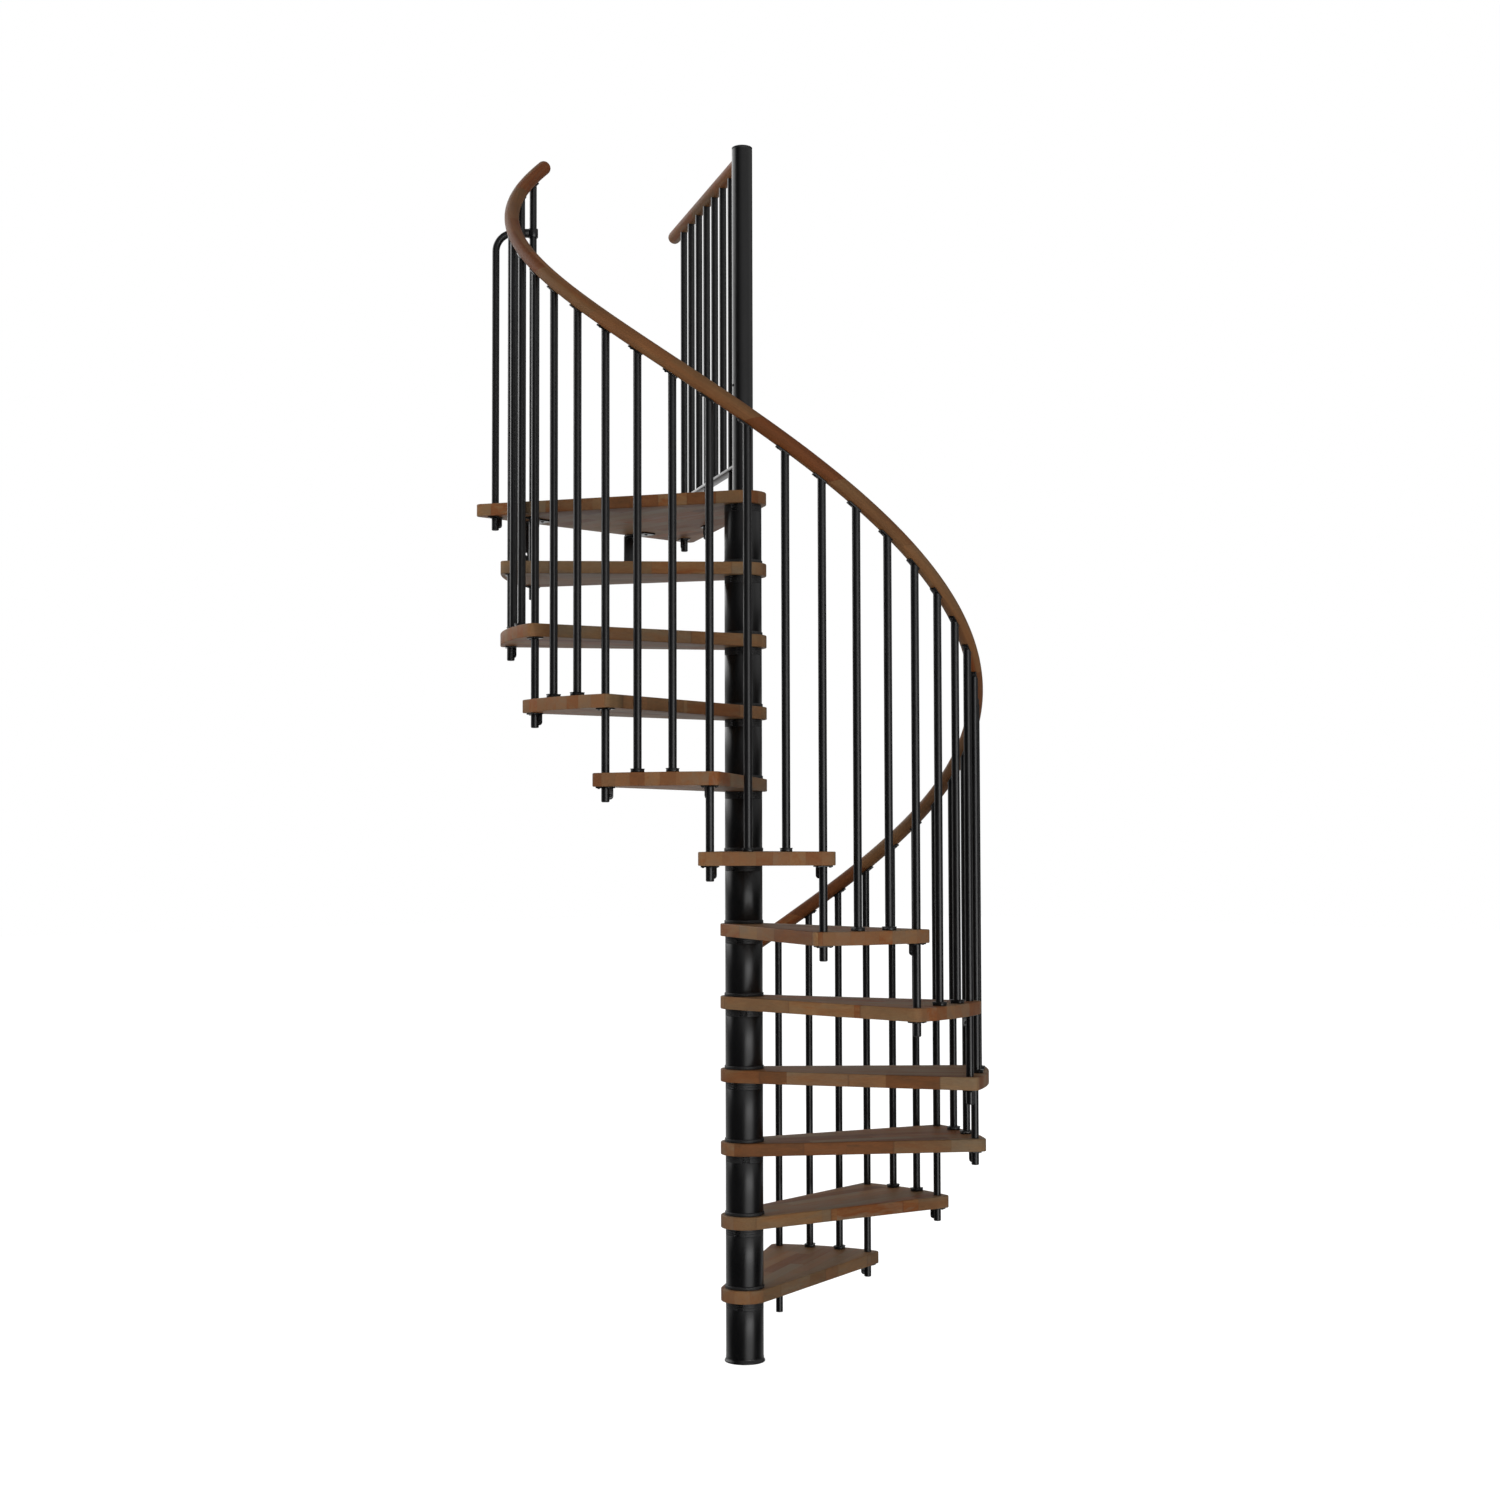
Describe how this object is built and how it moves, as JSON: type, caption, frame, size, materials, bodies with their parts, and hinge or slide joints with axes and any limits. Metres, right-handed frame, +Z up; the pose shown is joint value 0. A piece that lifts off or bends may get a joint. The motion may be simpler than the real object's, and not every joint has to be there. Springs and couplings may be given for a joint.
{
  "type": "spiral staircase",
  "caption": "Spiral staircase: wooden treads and a corner landing on a steel column, with an upright tube railing and a round wooden handrail.",
  "frame": {"origin": "centre of the base plate's underside, on the column's axis, at floor level", "axes": "+Z up; +Y points from the column square across the landing's open edge, towards the upper floor; the stair climbs clockwise seen from above"},
  "size_m": [1.4, 1.4706, 3.5713],
  "materials": {
    "wood": "satin",
    "steel": "satin",
    "plastic": "matte"
  },
  "bodies": {
    "root": {"base_plate": "steel", "centre_post": "steel", "post_cap": "plastic", "column_tubes": "steel", "spacer_stacks": "plastic", "tube_collars": "plastic", "tread_01": "wood", "tread_02": "wood", "tread_03": "wood", "tread_04": "wood", "tread_05": "wood", "tread_06": "wood", "tread_07": "wood", "tread_08": "wood", "tread_09": "wood", "tread_10": "wood", "tread_11": "wood", "landing": "wood", "railing_tubes_00": "steel", "railing_tubes_01": "steel", "railing_tubes_02": "steel", "railing_tubes_03": "steel", "railing_tubes_04": "steel", "railing_tubes_05": "steel", "railing_tubes_06": "steel", "railing_tubes_07": "steel", "railing_tubes_08": "steel", "railing_tubes_09": "steel", "railing_tubes_10": "steel", "railing_tubes_11": "steel", "tube_feet": "plastic", "tube_clamps": "steel", "handrail": "wood", "handrail_plates": "steel", "guard_handrail": "wood", "guard_tubes": "steel", "guard_bottom_rail": "steel", "hoop_tube": "steel", "hoop_clamp": "steel", "floor_brackets": "steel"}
  },
  "joints": []
}
